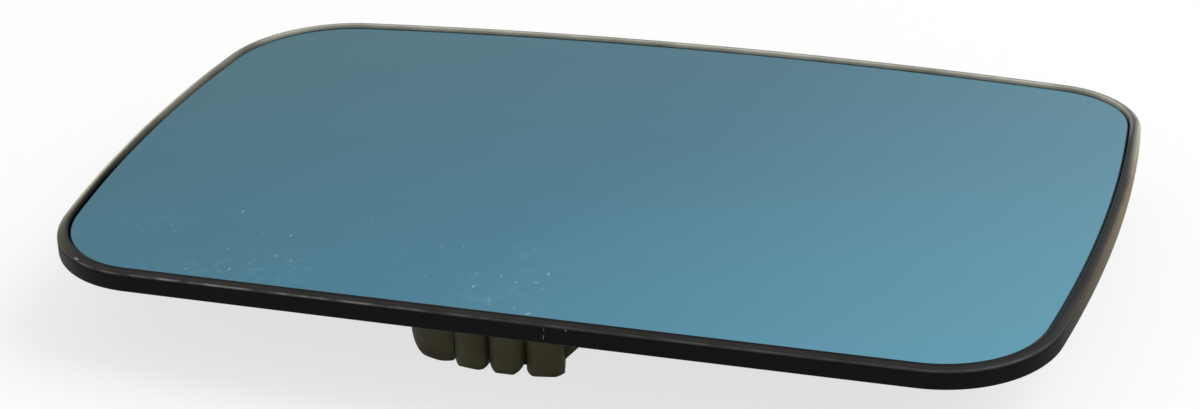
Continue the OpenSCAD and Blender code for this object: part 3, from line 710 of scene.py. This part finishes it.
class MIRRORGLASS_OT_rim(bpy.types.Operator):
    """Makes the fine rim over the holder's plain one"""
    bl_idname = "mirrorglass.rim"
    bl_label = "Rim"

    def execute(self, context):
        size, look = context.scene.mirror_outline, context.scene.mirror_rim
        section = rim_section(look)
        rings = [[(p, s.y) for p in outline(size, s.x)] for s, slot, wear_and_sheen_amounts in section]
        piece = lofted("holder_rim", size, rings, [slot for s, slot, wear_and_sheen_amounts in section])
        piece.data.materials.append(
            moulded_abs(look, "abs_moulded_rim_wall", 0.05, 0.5, dusted_and_sheened=True))
        piece.data.materials.append(weathered_abs(look))
        # Wear, dust, algae and the painted reflection at every point of the rim
        wear_and_sheen_amounts = [
            rim_wear_and_sheen((p.x + size.centre_x) / MM, p.y / MM, share(s.x, 0, look.width), scuff)
            for (s, slot, scuff), ring in zip(section, rings) for p, height in ring]
        for layer in wear_and_sheen_amounts[0]:
            values = piece.data.attributes.new(layer, "FLOAT", "POINT")
            values.data.foreach_set("value", [place[layer] for place in wear_and_sheen_amounts])
        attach(piece, HOLDER)
        return {"FINISHED"}


def eased(node_name, piece_name, body, rounding, finish):
    """A copy of a CAD node with its sharp edges rounded, in the node's place."""
    piece = bpy.data.objects.new(piece_name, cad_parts[node_name].data.copy())
    bpy.context.scene.collection.objects.link(piece)
    piece.data.materials.clear()
    piece.data.materials.append(finish)
    piece.data.shade_smooth()
    weld = piece.modifiers.new("weld", "WELD")
    weld.merge_threshold = 0.02 * MM
    flat = piece.modifiers.new("flat", "DECIMATE")
    flat.decimate_type = "DISSOLVE"
    flat.angle_limit = math.radians(0.3)
    bevel = piece.modifiers.new("rounding", "BEVEL")
    bevel.width = rounding
    bevel.segments = 3
    bevel.limit_method = "ANGLE"
    bevel.angle_limit = math.radians(32)
    even = piece.modifiers.new("even", "WEIGHTED_NORMAL")
    even.mode = "FACE_AREA"
    ready = piece.evaluated_get(bpy.context.evaluated_depsgraph_get())
    shape = bpy.data.meshes.new_from_object(ready)
    piece.modifiers.clear()
    piece.data = shape
    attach(piece, body)
    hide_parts(node_name)
    return piece


class MIRRORGLASS_OT_holder(bpy.types.Operator):
    """Finishes the holder's back as moulded"""
    bl_idname = "mirrorglass.holder"
    bl_label = "Holder"

    def execute(self, context):
        finish = moulded_abs(context.scene.mirror_rim, "abs_moulded_back", 0.4, 0.48)
        eased("glass_holder", "holder_moulding", HOLDER,
              context.scene.mirror_back.rounding, finish)
        return {"FINISHED"}


class MIRRORGLASS_OT_ring(bpy.types.Operator):
    """Finishes the twist-lock ring with rounded moulded edges"""
    bl_idname = "mirrorglass.ring"
    bl_label = "Twist-Lock Ring"

    def execute(self, context):
        look = context.scene.mirror_ring
        eased("locking_ring", "twist_lock_ring", RING, look.rounding,
              aged_nylon(look))
        return {"FINISHED"}


class MIRRORGLASS_OT_heater(bpy.types.Operator):
    """Finishes the heating film, its adhesive, terminals and rivets"""
    bl_idname = "mirrorglass.heater"
    bl_label = "Heater"

    def execute(self, context):
        look = context.scene.mirror_back
        brass = tinned_brass(look)
        finishes = {
            "heater_foil": heater_film(look),
            "adhesive_sheet": acrylic_foam(look),
            "terminal_rivets": pressed_aluminium(look),
        }
        for name, finish in finishes.items():
            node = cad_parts[name]
            node.data.materials.clear()
            node.data.materials.append(finish)
        for side in ("upper", "lower"):
            eased("terminal_" + side, side + "_blade", HOLDER, look.stamped, brass)
        return {"FINISHED"}


class MIRRORGLASS_OT_stage(bpy.types.Operator):
    """Makes the floor, the light and the camera"""
    bl_idname = "mirrorglass.stage"
    bl_label = "Stage"

    def execute(self, context):
        look = context.scene.mirror_stage
        level = CAD_BOX[0].z
        # Floor: a matt painted board. What the camera and the mirror see is mostly plain white, and
        # the rest is the board's own shade with the part's shadow
        material, tree, shader, place = new_material("painted_board")
        grain = add(tree, "TexNoise", {"Vector": place, "Scale": per(33)}).outputs["Fac"]
        even = add(tree, "MapRange", {"Value": grain, "To Min": 0.99, "To Max": 1.0}).outputs[0]
        mix = add(tree, "Mix", {"Factor": 1.0, "A": look.floor, "B": even},
                  data_type="RGBA", blend_type="MULTIPLY")
        tree.links.new(mix.outputs["Result"], shader.inputs["Base Color"])
        set_sockets(shader, Roughness=0.9, Specular_IOR_Level=0.0)
        white = add(tree, "Emission", {"Color": tint("#ffffff"), "Strength": 1.0})
        bright = add(tree, "Math", {0: viewed(tree), 1: look.bright}, operation="MULTIPLY")
        board = add(tree, "MixShader", {
            0: bright.outputs[0], 1: shader.outputs[0], 2: white.outputs[0]})
        # Seen from below it is clear, so that the back of the holder can be looked at
        below = add(tree, "NewGeometry").outputs["Backfacing"]
        clear = add(tree, "BsdfTransparent")
        one_way = add(tree, "MixShader", {0: below, 1: board.outputs[0], 2: clear.outputs[0]})
        tree.links.new(one_way.outputs[0], tree.nodes["Material Output"].inputs["Surface"])
        mesh = bpy.data.meshes.new("floor")
        far = FLOOR_HALF
        mesh.from_pydata(
            [(-far, -far, level), (far, -far, level), (far, far, level), (-far, far, level)],
            [], [(0, 1, 2, 3)])
        floor = bpy.data.objects.new("floor", mesh)
        floor.data.materials.append(material)
        context.scene.collection.objects.link(floor)

        # World: even fill for the surfaces, and white where it is seen or mirrored
        world = bpy.data.worlds.new("studio")
        context.scene.world = world
        world.use_nodes = True
        tree = world.node_tree
        tree.nodes.clear()
        fill = add(tree, "Background", {"Color": tint("#ffffff"), "Strength": FILL})
        white = add(tree, "Background", {"Color": tint("#ffffff"), "Strength": 1.0})
        mix = add(tree, "MixShader", {0: viewed(tree), 1: fill.outputs[0], 2: white.outputs[0]})
        add(tree, "OutputWorld", {"Surface": mix.outputs[0]})

        lamp = bpy.data.lights.new("soft_light", "AREA")
        lamp.shape = "DISK"
        lamp.size = LIGHT_SIZE
        lamp.energy = look.lamp
        light = bpy.data.objects.new("soft_light", lamp)
        light.location = LIGHT_PLACE
        light.rotation_euler = (-light.location).to_track_quat("-Z", "Y").to_euler()
        context.scene.collection.objects.link(light)

        forward = CAMERA_FORWARD.normalized()
        right = (CAMERA_RIGHT - forward * CAMERA_RIGHT.dot(forward)).normalized()
        up = right.cross(forward)
        camera = bpy.data.objects.new("camera", bpy.data.cameras.new("camera"))
        camera.data.sensor_width = 36.0
        camera.data.sensor_fit = "HORIZONTAL"
        camera.data.lens = look.lens
        camera.data.clip_start = 0.01
        camera.matrix_world = Matrix.Translation(CAMERA_PLACE) @ Matrix(
            (right, up, -forward)).transposed().to_4x4()
        context.scene.collection.objects.link(camera)
        context.scene.camera = camera
        context.scene.view_settings.view_transform = "Standard"
        return {"FINISHED"}


class MIRRORGLASS_PT_panel(bpy.types.Panel):
    """Lists the pieces of the mirror glass"""
    bl_idname = "MIRRORGLASS_PT_panel"
    bl_label = "Door Mirror Glass"
    bl_space_type = "VIEW_3D"
    bl_region_type = "UI"
    bl_category = "Door Mirror Glass"

    def draw(self, context):
        for operator in OPERATORS:
            self.layout.operator(operator.bl_idname)
        for group in GROUPS.values():
            box = self.layout.box()
            for name in group.__annotations__:
                box.prop(getattr(context.scene, NAMES[group]), name)


GROUPS = {
    "mirror_outline": OutlineSizes,
    "mirror_glass": GlassLook,
    "mirror_rim": RimLook,
    "mirror_ring": RingLook,
    "mirror_back": BackLook,
    "mirror_stage": StageLook,
}
NAMES = {group: name for name, group in GROUPS.items()}
OPERATORS = [
    MIRRORGLASS_OT_glass,
    MIRRORGLASS_OT_rim,
    MIRRORGLASS_OT_holder,
    MIRRORGLASS_OT_ring,
    MIRRORGLASS_OT_heater,
    MIRRORGLASS_OT_stage,
]
CLASSES = [*GROUPS.values(), *OPERATORS, MIRRORGLASS_PT_panel]


def register():
    """Registers the classes and puts the settings on the scene."""
    for item in CLASSES:
        bpy.utils.register_class(item)
    for name, group in GROUPS.items():
        setattr(bpy.types.Scene, name, bpy.props.PointerProperty(type=group))


def unregister():
    """Takes the settings and the classes away again."""
    for name in GROUPS:
        delattr(bpy.types.Scene, name)
    for item in reversed(CLASSES):
        bpy.utils.unregister_class(item)


def main():
    """Makes every piece and the stage."""
    register()
    bpy.ops.mirrorglass.glass()
    bpy.ops.mirrorglass.rim()
    bpy.ops.mirrorglass.holder()
    bpy.ops.mirrorglass.ring()
    bpy.ops.mirrorglass.heater()
    bpy.ops.mirrorglass.stage()


if __name__ == "__main__":
    main()
